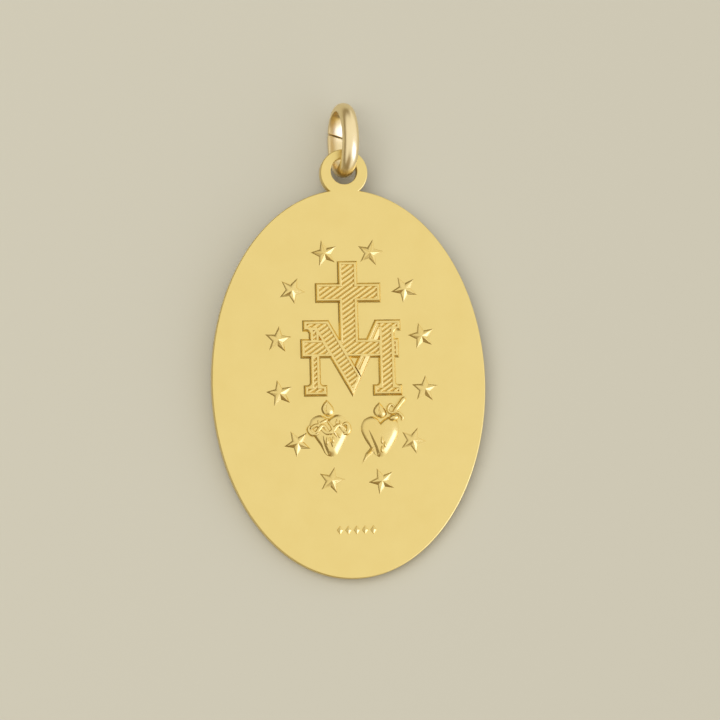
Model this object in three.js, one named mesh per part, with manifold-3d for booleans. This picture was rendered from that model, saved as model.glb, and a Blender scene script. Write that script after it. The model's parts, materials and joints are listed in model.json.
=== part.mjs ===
// A struck oval medal and the oval bail ring through its ear, lying face up.
// Millimetres, +Z up, the medal's long axis along Y with its ear towards +Y.
// The ring stands through the ear and runs under it, so the ear end is propped up a little
// and the plate slopes down to the foot of the oval.

import * as THREE from "three";
import { mergeVertices } from "three/addons/utils/BufferGeometryUtils.js";
import Module from "manifold-3d";

const wasm = await Module();
wasm.setup();

// Oval plate
const plateWidth = 25;
const plateLength = 35.4;
const plateThickness = 1.15;
const edgeChamfer = 0.12;

// Ear, in one piece with the plate
const earDiameter = 4.34;
const earRise = 1.56;
const earHoleDiameter = 2.4;
const earHoleRise = 0.15;

// Bail ring: an oval of half-round wire, flat inside, domed outside, with a butt joint
const ringLength = 6.9;
const ringBreadth = 5.1;
const ringWireWidth = 1.56;
const ringWireThickness = 0.82;
const ringJointGap = 0.1;
const ringJointTurn = THREE.MathUtils.degToRad(-75);
const ringLean = THREE.MathUtils.degToRad(13.5);

// How the ring sits in the ear: how far the ring's inner end stands clear of the hole's far
// edge, its step to the side, and the room for its raised corner under the round hole's edge
const ringSlack = 1;
const ringSideStep = 0.08;
const seatClearance = 0.48;

// Struck relief: how far the emblem stands over the field, how deep its panels are sunk, the
// upright edge round a faceted figure, and how deep the roots run into the plate
const emblemHeight = 0.34;
const emblemRim = 0.28;
const panelDepth = 0.16;
const reliefEdge = 0.05;
const rootDepth = 0.2;

// Letter M: baseline and height, then its strokes from left to right
const letterBase = -1.08;
const letterHeight = 6.75;
const leftPostEdge = -3.52;
const leftPostWidth = 0.82;
const rightPostEdge = 2.78;
const rightPostWidth = 1.38;
const serifHeight = 0.84;
const serifReach = 0.57;
const serifFillet = 0.34;
const thickStrokeWidth = 1.68;
const thinStrokeWidth = 0.98;
const thinStrokeLap = 0.7;
const vertexEdge = 0.28;

// Cross, and the base bar that it stands on, which weaves through the letter
const crossCentre = 0.05;
const crossTop = 11.05;
const uprightWidth = 1.66;
const armSpan = 5.82;
const armTop = 9.05;
const armWidth = 1.62;
const barLeft = -4.32;
const barRight = 4.52;
const barTop = 3.96;
const barWidth = 1.58;

// Slanting ridges that hatch the sunk panels
const ridgePitch = 0.375;
const ridgeWidth = 0.2;
const ridgeDrop = 0.04;
const ridgeSlope = THREE.MathUtils.degToRad(30);

// Twelve faceted stars on an oval. Each row has a star's place as shares of the
// oval's half width and half height from its centre, and the turn of one ray from the top
const starPoints = 5;
const starTipRadius = 1.12;
const starValleyShare = 0.36;
const starHeight = 0.32;
const starOvalHalfWidth = 6.9;
const starOvalHalfHeight = 10.4;
const starOvalCentre = 1.5;
const stars = [
  { across: -0.29, along: 0.995, turn: -13 },
  { across: 0.319, along: 0.998, turn: 12 },
  { across: -0.733, along: 0.672, turn: 25.5 },
  { across: 0.764, along: 0.676, turn: -29 },
  { across: -0.93, along: 0.242, turn: 5.5 },
  { across: 0.974, along: 0.262, turn: -13 },
  { across: -0.925, along: -0.226, turn: -10.5 },
  { across: 1.001, along: -0.204, turn: 2.5 },
  { across: -0.704, along: -0.662, turn: -30.5 },
  { across: 0.822, along: -0.653, turn: 21.5 },
  { across: -0.268, along: -0.991, turn: 13.5 },
  { across: 0.4, along: -1.001, turn: -22.5 },
];

// Two hearts: half width, height from notch to tip, and how far they bulge
const heartHalfWidth = 1.85;
const heartHeight = 3.3;
const heartBulge = 0.55;
const heartRounding = 0.62;
const leftHeartNotch = new THREE.Vector2(-2, -3.25);
const rightHeartNotch = new THREE.Vector2(2.68, -3.35);

// Right half of a heart from its tip up to its notch. Each row is the end of one curve and
// the point that it bends towards, as shares of the half width and of the height over the notch
const heartCurves = [
  { bendAcross: 1, bendUp: -0.53, endAcross: 1, endUp: -0.25 },
  { bendAcross: 1, bendUp: 0.13, endAcross: 0.52, endUp: 0.13 },
  { bendAcross: 0.12, bendUp: 0.13, endAcross: 0, endUp: 0 },
];

// Flame over each heart, its belly and its shoulder as shares of its height and half width
const flameHeight = 1.4;
const flameHalfWidth = 0.56;
const flameRelief = 0.36;
const flameFoot = 0.11;
const flameBelly = 0.4;
const flameShoulder = 0.7;

// Crown of thorns: two twisted strands across the left heart
const crownHalfWidth = 1.88;
const crownDrop = 0.72;
const crownSag = 0.34;
const crownTwists = 3;
const crownWave = 0.24;
const crownStrand = 0.17;
const crownRise = 0.5;
const crownEndRise = 0.22;

// Sword through the right heart: its grip stands out above, its point below
const swordGripEnd = new THREE.Vector2(5, -1.38);
const swordPoint = new THREE.Vector2(1.15, -7.05);
const gripLength = 1.62;
const gripHalfWidth = 0.25;
const pointLength = 1.75;
const pointHalfWidth = 0.24;
const guardHalfSpan = 0.78;
const guardHook = 0.3;
const guardStrand = 0.13;
const swordRelief = 0.36;

// Plain row of raised lozenges at the foot
const lozengeCount = 5;
const lozengeHalfWidth = 0.3;
const lozengeHalfHeight = 0.42;
const lozengePitch = 0.76;
const lozengeHeight = 0.16;
const lozengeRow = new THREE.Vector2(0.32, -13.3);

// How finely round shapes are cut into flats
const plateFlats = 48;
const earFlats = 40;
const filletFlats = 3;
const heartFlats = 6;
const heartSteps = 3;
const ringSteps = 56;
const ringDomeFlats = 8;
const strandSides = 6;
const crownSteps = 30;
const guardSteps = 12;
const mergeDistance = 1e-4;

const field = plateThickness;
const plateFoot = plateLength / 2;
const earCentre = plateFoot + earRise;
const earHoleCentre = earCentre + earHoleRise;
const earHoleTop = earHoleCentre + earHoleDiameter / 2;

// A three.js geometry as a closed solid that can be joined and cut
function solidOf(geometry) {
  const bare = geometry.clone();
  bare.deleteAttribute("normal");
  bare.deleteAttribute("uv");
  const merged = mergeVertices(bare, mergeDistance);
  return new wasm.Manifold(
    new wasm.Mesh({
      numProp: 3,
      vertProperties: merged.attributes.position.array,
      triVerts: new Uint32Array(merged.index.array),
    }),
  );
}

// A joined or cut solid back as a three.js geometry
function geometryOf(solid) {
  const mesh = solid.getMesh();
  return new THREE.BufferGeometry()
    .setAttribute("position", new THREE.BufferAttribute(mesh.vertProperties, 3))
    .setIndex(new THREE.BufferAttribute(mesh.triVerts, 1));
}

function join(solids) {
  return solids.reduce((whole, solid) => whole.add(solid));
}

// An upright prism over an outline, between two heights
function prism(outline, low, high, curveSegments = filletFlats) {
  const shape = Array.isArray(outline) ? new THREE.Shape(outline) : outline;
  const geometry = new THREE.ExtrudeGeometry(shape, {
    depth: high - low,
    bevelEnabled: false,
    curveSegments,
  });
  return solidOf(geometry.translate(0, 0, low));
}

// An outline with upright walls that rises in flat facets from its edge to one peak
function peaked(outline, edge, peakHeight, peak) {
  const count = outline.length;
  const ring = (height) => outline.map((p) => new THREE.Vector3(p.x, p.y, height));
  const root = field - rootDepth;
  const points = [...ring(root), ...ring(field + edge)];
  points.push(new THREE.Vector3(peak.x, peak.y, root));
  points.push(new THREE.Vector3(peak.x, peak.y, field + peakHeight));
  const faces = [];
  for (let i = 0; i < count; i += 1) {
    const next = (i + 1) % count;
    faces.push(next, i, 2 * count);
    faces.push(i, next, count + next);
    faces.push(i, count + next, count + i);
    faces.push(count + i, count + next, 2 * count + 1);
  }
  return solidOf(new THREE.BufferGeometry().setFromPoints(points).setIndex(faces));
}

// A round strand along a path
function strand(path, radius, steps) {
  const section = new THREE.Shape();
  for (let i = 0; i < strandSides; i += 1) {
    const turn = (i / strandSides) * 2 * Math.PI;
    const corner = [radius * Math.cos(turn), radius * Math.sin(turn)];
    section[i ? "lineTo" : "moveTo"](...corner);
  }
  return solidOf(new THREE.ExtrudeGeometry(section, { steps, extrudePath: path }));
}

function rectangle(left, right, bottom, top) {
  return [
    new THREE.Vector2(left, bottom),
    new THREE.Vector2(right, bottom),
    new THREE.Vector2(right, top),
    new THREE.Vector2(left, top),
  ];
}

// Where two lines cross, each given by a point and a direction
function crossing(point, along, otherPoint, otherAlong) {
  const between = otherPoint.clone().sub(point);
  const share = between.cross(otherAlong) / along.cross(otherAlong);
  return point.clone().addScaledVector(along, share);
}

// A convex outline, listed anticlockwise, drawn in by the same distance all round
function inset(outline, distance) {
  const sides = outline.map((start, i) => {
    const along = outline[(i + 1) % outline.length].clone().sub(start).normalize();
    const inward = new THREE.Vector2(-along.y, along.x);
    return { along, point: start.clone().addScaledVector(inward, distance) };
  });
  return sides.map((side, i) => {
    const before = sides[(i + sides.length - 1) % sides.length];
    return crossing(before.point, before.along, side.point, side.along);
  });
}

// Plate and ear, with the hole through the ear

function chamferedDisc(halfWidth, halfHeight, centre, flats) {
  const shape = new THREE.Shape();
  shape.absellipse(0, centre, halfWidth, halfHeight, 0, 2 * Math.PI, false);
  const geometry = new THREE.ExtrudeGeometry(shape, {
    depth: plateThickness - 2 * edgeChamfer,
    curveSegments: flats,
    bevelThickness: edgeChamfer,
    bevelSize: edgeChamfer,
    bevelOffset: -edgeChamfer,
    bevelSegments: 1,
  });
  return solidOf(geometry.translate(0, 0, edgeChamfer));
}

function blank() {
  const oval = chamferedDisc(plateWidth / 2, plateFoot, 0, plateFlats);
  const ear = chamferedDisc(earDiameter / 2, earDiameter / 2, earCentre, earFlats);
  const hole = new THREE.Shape();
  hole.absarc(0, earHoleCentre, earHoleDiameter / 2, 0, 2 * Math.PI, false);
  const drill = prism(hole, -rootDepth, plateThickness + rootDepth, earFlats);
  return oval.add(ear).subtract(drill);
}

// Emblem: the letter, the cross and the bar, as convex strokes

const letterTop = letterBase + letterHeight;
const leftPostFar = leftPostEdge + leftPostWidth;
const rightPostFar = rightPostEdge + rightPostWidth;
const barBottom = barTop - barWidth;

// The thick stroke falls from over the left post to the vertex, and the thin one rises
// from there to the top serif of the right post, where it laps over that post's near edge
const vertex = new THREE.Vector2(vertexEdge, letterBase);
const thickFall = new THREE.Vector2(vertexEdge - leftPostEdge, -letterHeight);
const thinRise = new THREE.Vector2(rightPostEdge + thinStrokeLap - vertexEdge, letterHeight);
const thickTopRight = new THREE.Vector2(leftPostEdge + thickStrokeWidth, letterTop);
const thinTopLeft = vertex.clone().add(thinRise);
thinTopLeft.x -= thinStrokeWidth;
const strokesMeet = crossing(thickTopRight, thickFall, vertex, thinRise);
const strokesPart = crossing(thickTopRight, thickFall, thinTopLeft, thinRise);

const serif = (left, right, bottom) => rectangle(left, right, bottom, bottom + serifHeight);
const topSerifBase = letterTop - serifHeight;

// Groups of strokes in the order in which they lie: a later group crosses over an earlier one
const strokeGroups = [
  [
    rectangle(leftPostEdge, leftPostFar, letterBase, letterTop),
    serif(leftPostEdge - serifReach, leftPostFar + serifReach, letterBase),
    [strokesMeet, vertex.clone().add(thinRise), thinTopLeft, strokesPart],
  ],
  [
    rectangle(
      crossCentre - uprightWidth / 2,
      crossCentre + uprightWidth / 2,
      barBottom,
      crossTop,
    ),
    rectangle(crossCentre - armSpan / 2, crossCentre + armSpan / 2, armTop - armWidth, armTop),
    rectangle(barLeft, barRight, barBottom, barTop),
  ],
  [
    [vertex, strokesMeet, thickTopRight, new THREE.Vector2(leftPostEdge, letterTop)],
    serif(leftPostEdge - serifReach, thickTopRight.x, topSerifBase),
    rectangle(rightPostEdge, rightPostFar, letterBase, letterTop),
    serif(rightPostEdge - serifReach, rightPostFar + serifReach, letterBase),
    serif(thinTopLeft.x, rightPostFar + serifReach, topSerifBase),
  ],
];

// The hollow corner between a post and its serif, filled to a round
function fillet(cornerX, cornerY, sideways, upwards) {
  const shape = new THREE.Shape();
  shape.moveTo(cornerX, cornerY);
  shape.lineTo(cornerX + sideways * serifFillet, cornerY);
  shape.quadraticCurveTo(cornerX, cornerY, cornerX, cornerY + upwards * serifFillet);
  return shape;
}

const footTop = letterBase + serifHeight;
const fillets = [
  fillet(leftPostEdge, footTop, -1, 1),
  fillet(leftPostFar, footTop, 1, 1),
  fillet(leftPostEdge, topSerifBase, -1, -1),
  fillet(rightPostEdge, footTop, -1, 1),
  fillet(rightPostFar, footTop, 1, 1),
  fillet(rightPostFar, topSerifBase, 1, -1),
];

// The parts of the sunk panels that no later stroke covers
function openPanels(low, high) {
  const panelsOf = (group) => join(group.map((s) => prism(inset(s, emblemRim), low, high)));
  const coverOf = (group) => join(group.map((s) => prism(s, low, high)));
  const [first, ...later] = strokeGroups;
  return later.reduce(
    (open, group) => open.subtract(coverOf(group)).add(panelsOf(group)),
    panelsOf(first),
  );
}

// Parallel ridges over the whole emblem, which end inside the rims and stay a little lower
function hatchRidges(strokes, root, top) {
  const along = new THREE.Vector2(Math.cos(ridgeSlope), Math.sin(ridgeSlope));
  const across = new THREE.Vector2(-along.y, along.x);
  const corners = rectangle(barLeft, rightPostFar + serifReach, letterBase, crossTop);
  const reach = corners.map((corner) => corner.dot(across));
  const first = Math.ceil(Math.min(...reach) / ridgePitch);
  const last = Math.floor(Math.max(...reach) / ridgePitch);
  const half = crossTop - letterBase;
  const ridges = [];
  for (let i = first; i <= last; i += 1) {
    const ridge = rectangle(-half, half, -ridgeWidth / 2, ridgeWidth / 2).map((corner) =>
      new THREE.Vector2()
        .addScaledVector(along, corner.x)
        .addScaledVector(across, corner.y + i * ridgePitch),
    );
    ridges.push(prism(ridge, root, top - ridgeDrop));
  }
  const withinRims = strokes.map((s) => prism(inset(s, emblemRim / 2), root - rootDepth, top));
  return join(ridges).intersect(join(withinRims));
}

function emblem() {
  const root = field - rootDepth;
  const top = field + emblemHeight;
  const floor = top - panelDepth;
  const strokes = strokeGroups.flat();
  const solid = join([...strokes, ...fillets].map((s) => prism(s, root, top)));
  return solid.subtract(openPanels(floor, top + rootDepth)).add(hatchRidges(strokes, root, top));
}

// Stars

function star({ across, along, turn }) {
  const centre = new THREE.Vector2(
    across * starOvalHalfWidth,
    starOvalCentre + along * starOvalHalfHeight,
  );
  const outline = [];
  for (let i = 2 * starPoints; i > 0; i -= 1) {
    const reach = starTipRadius * (i % 2 ? starValleyShare : 1);
    const angle = THREE.MathUtils.degToRad(turn) + (i * Math.PI) / starPoints;
    const tip = new THREE.Vector2(Math.sin(angle), Math.cos(angle));
    outline.push(tip.multiplyScalar(reach).add(centre));
  }
  return peaked(outline, reliefEdge, starHeight, centre);
}

// Hearts, with a flame over each

function heart(notch) {
  const place = (across, up) =>
    new THREE.Vector2(notch.x + across * heartHalfWidth, notch.y + up * heartHeight);
  const rightHalf = new THREE.Path();
  rightHalf.currentPoint = place(0, -1);
  heartCurves.forEach(({ bendAcross, bendUp, endAcross, endUp }) => {
    const bend = place(bendAcross, bendUp);
    const end = place(endAcross, endUp);
    rightHalf.quadraticCurveTo(bend.x, bend.y, end.x, end.y);
  });
  const rightEdge = rightHalf.getPoints(heartFlats);
  const leftEdge = rightEdge
    .slice(1, -1)
    .reverse()
    .map((p) => new THREE.Vector2(2 * notch.x - p.x, p.y));
  const shape = new THREE.Shape([...rightEdge, ...leftEdge]);
  const geometry = new THREE.ExtrudeGeometry(shape, {
    depth: rootDepth,
    bevelThickness: heartBulge,
    bevelSize: heartRounding,
    bevelOffset: -heartRounding,
    bevelSegments: heartSteps,
  });
  return solidOf(geometry.translate(0, 0, field - rootDepth));
}

function flame(notch) {
  const foot = notch.y + flameFoot;
  const belly = foot + flameBelly * flameHeight;
  const shoulder = foot + flameShoulder * flameHeight;
  const left = notch.x - flameHalfWidth;
  const right = notch.x + flameHalfWidth;
  const shape = new THREE.Shape();
  shape.moveTo(notch.x, foot);
  shape.quadraticCurveTo(right, foot, right, belly);
  shape.quadraticCurveTo((notch.x + right) / 2, shoulder, notch.x, foot + flameHeight);
  shape.quadraticCurveTo(left, shoulder, left, belly);
  shape.quadraticCurveTo(left, foot, notch.x, foot);
  const outline = shape.getPoints(filletFlats).slice(1);
  return peaked(outline, reliefEdge, flameRelief, new THREE.Vector2(notch.x, belly));
}

// Crown of thorns

class CrownPath extends THREE.Curve {
  constructor(centre, phase) {
    super();
    this.centre = centre;
    this.phase = phase;
  }

  getPoint(share, target = new THREE.Vector3()) {
    const side = 2 * share - 1;
    const inward = 1 - side * side;
    const wave = Math.sin(2 * Math.PI * crownTwists * share + this.phase);
    return target.set(
      this.centre.x + side * crownHalfWidth,
      this.centre.y - crownDrop - crownSag * inward + crownWave * wave,
      field + crownEndRise + (crownRise - crownEndRise) * Math.sqrt(inward),
    );
  }
}

function crown(notch) {
  const strands = [0, Math.PI].map((phase) =>
    strand(new CrownPath(notch, phase), crownStrand, crownSteps),
  );
  return join(strands);
}

// Sword, in a frame that runs along the blade from its point towards the grip

function sword() {
  const along = swordGripEnd.clone().sub(swordPoint).normalize();
  const across = new THREE.Vector2(-along.y, along.x);
  const length = swordGripEnd.distanceTo(swordPoint);
  const place = (ahead, aside) =>
    swordPoint.clone().addScaledVector(along, ahead).addScaledVector(across, aside);
  const guardPlace = length - gripLength;
  const point = [
    place(0, 0),
    place(pointLength, -pointHalfWidth),
    place(pointLength + pointHalfWidth, 0),
    place(pointLength, pointHalfWidth),
  ];
  const grip = [
    place(guardPlace, -gripHalfWidth / 2),
    place(length - gripHalfWidth, -gripHalfWidth),
    place(length, 0),
    place(length - gripHalfWidth, gripHalfWidth),
    place(guardPlace, gripHalfWidth / 2),
  ];
  const guardPath = new THREE.CatmullRomCurve3(
    [
      place(guardPlace + guardHook, -guardHalfSpan),
      place(guardPlace, -guardHalfSpan),
      place(guardPlace, 0),
      place(guardPlace, guardHalfSpan),
      place(guardPlace + guardHook, guardHalfSpan),
    ].map((p) => new THREE.Vector3(p.x, p.y, field + guardStrand / 2)),
  );
  return join([
    peaked(point, reliefEdge, swordRelief, place(pointLength, 0)),
    peaked(grip, reliefEdge, swordRelief, place(length - 2 * gripHalfWidth, 0)),
    strand(guardPath, guardStrand, guardSteps),
  ]);
}

// Row of plain lozenges

function lozenges() {
  const row = [];
  for (let i = 0; i < lozengeCount; i += 1) {
    const x = lozengeRow.x + (i - (lozengeCount - 1) / 2) * lozengePitch;
    const outline = [
      new THREE.Vector2(x, lozengeRow.y - lozengeHalfHeight),
      new THREE.Vector2(x + lozengeHalfWidth, lozengeRow.y),
      new THREE.Vector2(x, lozengeRow.y + lozengeHalfHeight),
      new THREE.Vector2(x - lozengeHalfWidth, lozengeRow.y),
    ];
    row.push(peaked(outline, reliefEdge, lozengeHeight, new THREE.Vector2(x, lozengeRow.y)));
  }
  return join(row);
}

function medalSolid() {
  return join([
    blank(),
    emblem(),
    ...stars.map(star),
    heart(leftHeartNotch),
    heart(rightHeartNotch),
    flame(leftHeartNotch),
    flame(rightHeartNotch),
    crown(leftHeartNotch),
    sword(),
    lozenges(),
  ]);
}

// Bail ring, in its own plane: its length along X, its breadth along Y, its wire's width along Z

const ringInnerHalfLength = ringLength / 2 - ringWireThickness;
const ringInnerHalfBreadth = ringBreadth / 2 - ringWireThickness;

class RingPath extends THREE.Curve {
  getPoint(share, target = new THREE.Vector3()) {
    const halfLength = (ringLength - ringWireThickness) / 2;
    const halfBreadth = (ringBreadth - ringWireThickness) / 2;
    const joint = ringJointGap / halfLength;
    const turn = ringJointTurn + joint / 2 + share * (2 * Math.PI - joint);
    return target.set(halfLength * Math.cos(turn), halfBreadth * Math.sin(turn), 0);
  }
}

function ringSolid() {
  const inner = ringWireThickness / 2;
  const section = new THREE.Shape();
  section.moveTo(-ringWireWidth / 2, inner);
  section.lineTo(ringWireWidth / 2, inner);
  section.absellipse(0, inner, ringWireWidth / 2, ringWireThickness, 0, Math.PI, true);
  const geometry = new THREE.ExtrudeGeometry(section, {
    steps: ringSteps,
    curveSegments: ringDomeFlats,
    extrudePath: new RingPath(),
  });
  return solidOf(geometry);
}

// The ring stands on its lower limb and leans to one side
const ringCentreHeight =
  ringInnerHalfBreadth * Math.cos(ringLean) +
  Math.hypot(ringWireThickness * Math.cos(ringLean), (ringWireWidth / 2) * Math.sin(ringLean));
const ringCentreAlong = earHoleTop - ringSlack + ringInnerHalfLength;

// The ear lies on the ring where the hole's upper edge meets the lower limb
const ringRunToEar = (earHoleTop - ringCentreAlong) / ringInnerHalfLength;
const limbDropAtEar = ringInnerHalfBreadth * Math.sqrt(1 - ringRunToEar ** 2);
const earLift =
  ringCentreHeight -
  limbDropAtEar * Math.cos(ringLean) +
  (ringWireWidth / 2) * Math.sin(ringLean) +
  seatClearance;
const footEdge = plateFoot - edgeChamfer;
const plateSlope = Math.asin(earLift / (earHoleTop + footEdge));

// Scene graph

const gilt = (name, color, roughness) =>
  new THREE.MeshStandardMaterial({ name, color, roughness, metalness: 1, flatShading: true });

const medal = new THREE.Mesh(
  geometryOf(medalSolid()),
  gilt("satin_gilt_brass", "#e8cf84", 0.4),
);
medal.name = "medal";
medal.position.y = footEdge;

const slopedMedal = new THREE.Group();
slopedMedal.rotation.x = plateSlope;
slopedMedal.position.y = -footEdge;
slopedMedal.add(medal);

const bailRing = new THREE.Mesh(
  geometryOf(ringSolid()),
  gilt("polished_gilt_brass", "#efd9a0", 0.2),
);
bailRing.name = "bail_ring";
bailRing.quaternion.setFromRotationMatrix(
  new THREE.Matrix4().makeBasis(
    new THREE.Vector3(0, 1, 0),
    new THREE.Vector3(Math.sin(ringLean), 0, Math.cos(ringLean)),
    new THREE.Vector3(Math.cos(ringLean), 0, -Math.sin(ringLean)),
  ),
);
bailRing.position.set(ringSideStep, ringCentreAlong, ringCentreHeight);

const medalAndRing = new THREE.Group();
medalAndRing.add(slopedMedal, bailRing);

// The origin is under the middle of the whole, on the surface that it lies on
const reach = new THREE.Box3().setFromObject(medalAndRing, true);
const middle = reach.getCenter(new THREE.Vector3());
medalAndRing.position.set(-middle.x, -middle.y, -reach.min.z);

const pendant = new THREE.Group();
pendant.add(medalAndRing);

export default pendant;
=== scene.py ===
"""Looks of a struck oval medal and the oval bail ring through its ear, lying face up.

The relief is modelled in millimetres in the medal's own frame: x to the right, y towards the
ear, z up from the underside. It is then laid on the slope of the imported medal, in metres.
"""

import json
from math import asin, ceil, cos, floor, pi, radians, sin, tan

import bmesh
import bpy
from mathutils import Matrix, Vector


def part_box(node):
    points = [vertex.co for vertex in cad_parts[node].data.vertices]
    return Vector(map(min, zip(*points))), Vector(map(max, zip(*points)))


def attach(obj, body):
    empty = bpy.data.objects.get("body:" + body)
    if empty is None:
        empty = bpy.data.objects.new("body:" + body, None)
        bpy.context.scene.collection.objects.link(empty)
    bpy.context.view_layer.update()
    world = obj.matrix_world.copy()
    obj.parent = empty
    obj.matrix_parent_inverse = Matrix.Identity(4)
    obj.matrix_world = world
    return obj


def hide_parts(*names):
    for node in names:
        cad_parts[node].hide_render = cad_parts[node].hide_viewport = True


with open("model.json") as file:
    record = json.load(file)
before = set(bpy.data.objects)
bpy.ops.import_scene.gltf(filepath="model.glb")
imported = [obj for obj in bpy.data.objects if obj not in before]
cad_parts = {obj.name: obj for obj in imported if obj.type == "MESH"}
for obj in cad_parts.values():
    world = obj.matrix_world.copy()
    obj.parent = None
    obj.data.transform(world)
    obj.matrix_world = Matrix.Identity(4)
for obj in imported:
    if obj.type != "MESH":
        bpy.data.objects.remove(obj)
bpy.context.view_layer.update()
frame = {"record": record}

MM = 0.001

# Blank: the oval plate with its ear, in millimetres
PLATE_WIDTH = 25.0
PLATE_LENGTH = 35.4
FIELD = 1.15
EDGE_ROUNDING = 0.12
EAR_DIAMETER = 4.34
EAR_CENTRE = PLATE_LENGTH / 2 + 1.56
EAR_HOLE_DIAMETER = 2.4
EAR_HOLE_CENTRE = EAR_CENTRE + 0.15
HOLE_ROUNDING = 0.09
HOLE_ROUNDING_MIDDLE = 0.3 * HOLE_ROUNDING
ROOT = 0.2

# Emblem: the letter, the cross and the bar
EMBLEM_TOP = FIELD + 0.34
RIM = 0.28
PANEL_FLOOR = EMBLEM_TOP - 0.17
LETTER_BASE = -1.08
LETTER_TOP = 5.67
LEFT_POST = (-3.52, -2.70)
RIGHT_POST = (2.78, 4.16)
SERIF_HEIGHT = 0.84
SERIF_REACH = 0.57
SERIF_FILLET = 0.34
THICK_STROKE = 1.68
THIN_STROKE = 0.98
THIN_LAP = 0.7
THIN_GROOVE_SHIFT = 0.145
VERTEX = (0.28, LETTER_BASE)
CROSS_CENTRE = 0.05
CROSS_TOP = 11.05
UPRIGHT_WIDTH = 1.66
ARM_SPAN = 5.82
ARM_HEIGHTS = (7.43, 9.05)
BAR_ENDS = (-4.32, 4.52)
BAR_HEIGHTS = (2.38, 3.96)

# Walls of a raised stroke and of its sunk panel, and the slope down the letter's lower right
# side: how far in from the outline, and how high
WALL = (
    (-0.10, FIELD - ROOT),
    (-0.10, FIELD),
    (-0.05, FIELD + 0.042),
    (0.00, FIELD + 0.09),
    (0.03, FIELD + 0.26),
    (0.06, FIELD + 0.315),
    (0.11, EMBLEM_TOP),
)
PANEL_WALL = (
    (RIM + 0.02, PANEL_FLOOR),
    (RIM, EMBLEM_TOP - 0.06),
    (RIM - 0.03, EMBLEM_TOP - 0.015),
    (RIM - 0.07, EMBLEM_TOP + 0.001),
    (RIM - 0.07, EMBLEM_TOP + ROOT),
)
THIN_PANEL_WALL = ((RIM + 0.03, PANEL_FLOOR - 0.05), *PANEL_WALL[1:])
THIN_SLOPE = ((-0.12, FIELD + 0.22), (0.42, FIELD + 0.34))

# Hatching in the sunk panels
RIDGE_PITCH = 0.375
RIDGE_WIDTH = 0.325
RIDGE_RISE = 0.13
RIDGE_SLOPE = radians(35)
RIDGE_SIDES = 12

# Twelve faceted stars: their section, then each one's centre and the turn of one ray
# clockwise from the top
STAR_TIP = 1.1
STAR_VALLEY = 0.49
STAR_HEIGHT = 0.3
STAR_WALL = ((-0.06, FIELD - ROOT), (-0.06, FIELD), (0.0, FIELD + 0.05), (0.07, FIELD + 0.1))
STAR_SOFTENING = 0.03
STARS = (
    {"x": -2.00, "y": 11.85, "turn": -13},
    {"x": 2.20, "y": 11.88, "turn": 12},
    {"x": -5.06, "y": 8.49, "turn": 25.5},
    {"x": 5.27, "y": 8.53, "turn": -29},
    {"x": -6.42, "y": 4.02, "turn": 5.5},
    {"x": 6.72, "y": 4.22, "turn": -13},
    {"x": -6.38, "y": -0.85, "turn": -10.5},
    {"x": 6.91, "y": -0.62, "turn": 2.5},
    {"x": -4.86, "y": -5.38, "turn": -30.5},
    {"x": 5.67, "y": -5.29, "turn": 21.5},
    {"x": -1.85, "y": -8.81, "turn": 13.5},
    {"x": 2.76, "y": -8.91, "turn": -22.5},
)

# Hearts: their dome as (share of the way in to the middle, height over the field), and the
# sides of each from its tip round to its notch
HEART_DOME = (
    (0.05, 0.07), (0.10, 0.13), (0.15, 0.18), (0.21, 0.225), (0.28, 0.262),
    (0.36, 0.29), (0.50, 0.32), (0.70, 0.348), (0.88, 0.36),
)
LEFT_HEART = {
    "left": (
        (-1.9, -6.64), (-2.34, -6.42), (-2.8, -5.62), (-3.32, -4.86), (-3.78, -4.1),
        (-3.58, -3.25), (-2.9, -2.87), (-2.35, -3.0), (-2.05, -3.3),
    ),
    "right": (
        (-1.9, -6.64), (-1.4, -6.52), (-1.0, -6.0), (-0.56, -5.2), (-0.16, -4.3),
        (-0.14, -3.75), (-0.5, -3.1), (-1.15, -2.83), (-1.72, -3.0), (-2.05, -3.3),
    ),
    "middle": (-2.0, -4.5),
}
RIGHT_HEART = {
    "left": (
        (2.55, -6.76), (2.15, -6.5), (1.7, -5.8), (1.2, -4.98), (0.93, -4.15),
        (1.18, -3.4), (1.85, -3.04), (2.4, -3.2), (2.72, -3.6),
    ),
    "right": (
        (2.55, -6.76), (3.1, -6.58), (3.62, -5.95), (4.15, -5.05), (4.42, -4.2),
        (4.24, -3.4), (3.72, -3.08), (3.15, -3.25), (2.72, -3.6),
    ),
    "middle": (2.68, -4.6),
}
# Creases down the hearts: (x, y, height over the field), and their reach. They are cut as a
# steep side to the right over a nearly level strip: (across, up) for a reach of one
RIGHT_CREASE = (
    (1.62, -4.3, 0.31, 0.06), (1.86, -4.9, 0.3, 0.19), (2.1, -5.5, 0.28, 0.25),
    (2.3, -6.1, 0.22, 0.26), (2.42, -6.6, 0.1, 0.18),
)
LEFT_CREASES = (
    (
        (-2.56, -4.75, 0.33, 0.06), (-2.5, -5.3, 0.28, 0.16), (-2.32, -5.9, 0.2, 0.17),
        (-2.08, -6.45, 0.08, 0.1),
    ),
    ((-1.98, -4.9, 0.34, 0.05), (-1.9, -5.3, 0.32, 0.13), (-1.76, -5.8, 0.25, 0.06)),
)
CREASE_SECTION = ((1.1, 0.56), (1.1, 0.9), (-2.6, 0.9), (-2.6, -0.6), (-0.2, -0.5))

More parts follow.
